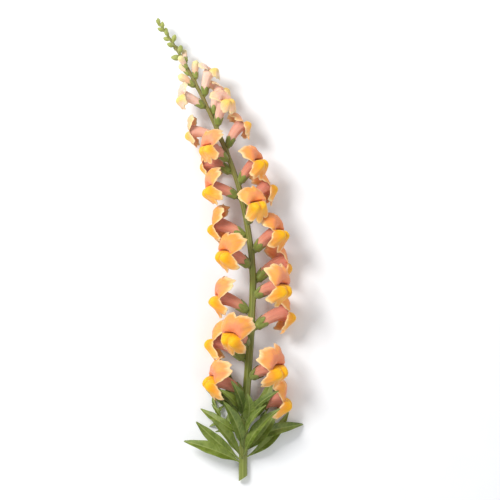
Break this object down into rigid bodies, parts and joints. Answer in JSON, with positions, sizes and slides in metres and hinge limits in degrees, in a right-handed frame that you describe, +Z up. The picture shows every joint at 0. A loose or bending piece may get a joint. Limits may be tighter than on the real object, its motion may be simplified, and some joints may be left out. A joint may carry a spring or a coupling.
{
  "type": "snapdragon stem",
  "caption": "Cut snapdragon stem lying on its side, with apricot two-lipped flowers, closed buds at the tip, and lance-shaped leaves near the cut end.",
  "frame": {"origin": "middle of the small flat that the stem rests on, under its cut end", "axes": "+Z up from the surface, +Y along the stem from the cut end to the buds at its tip, +X to the right seen from above"},
  "size_m": [0.1484, 0.4655, 0.0642],
  "materials": {
    "stem": "fresh olive-green stem, calyces and tip buds, satin with fine ridges",
    "petal": "apricot petals, soft and matt, with a bright yellow palate, paler in the young flowers",
    "bud": "pale yellow-peach closed buds, soft and matt",
    "leaf": "mid-green leaves, satin with a pale midrib"
  },
  "bodies": {
    "root": {"stem": "stem", "bloom_01": "petal", "bloom_02": "petal", "bloom_03": "petal", "bloom_04": "petal", "bloom_05": "petal", "bloom_06": "petal", "bloom_07": "petal", "bloom_08": "petal", "bloom_09": "petal", "bloom_10": "petal", "bloom_11": "petal", "bloom_12": "petal", "bloom_13": "petal", "bloom_14": "petal", "bloom_15": "petal", "bloom_16": "petal", "bloom_17": "petal", "bloom_18": "petal", "bloom_19": "petal", "bloom_20": "petal", "bloom_21": "petal", "bloom_22": "petal", "bloom_23": "petal", "bloom_24": "petal", "flower_bud_01": "bud", "flower_bud_02": "bud", "flower_bud_03": "bud", "flower_bud_04": "bud", "flower_bud_05": "bud", "leaf_01": "leaf", "leaf_02": "leaf", "leaf_03": "leaf", "leaf_04": "leaf", "leaf_05": "leaf", "leaf_06": "leaf", "leaf_07": "leaf", "leaf_08": "leaf", "leaf_09": "leaf", "leaf_10": "leaf", "leaf_11": "leaf", "leaf_12": "leaf", "leaf_13": "leaf", "leaf_14": "leaf", "leaf_15": "leaf", "leaf_16": "leaf", "leaf_17": "leaf", "leaf_18": "leaf", "side_shoot_01": "leaf", "side_shoot_02": "leaf"}
  },
  "joints": []
}
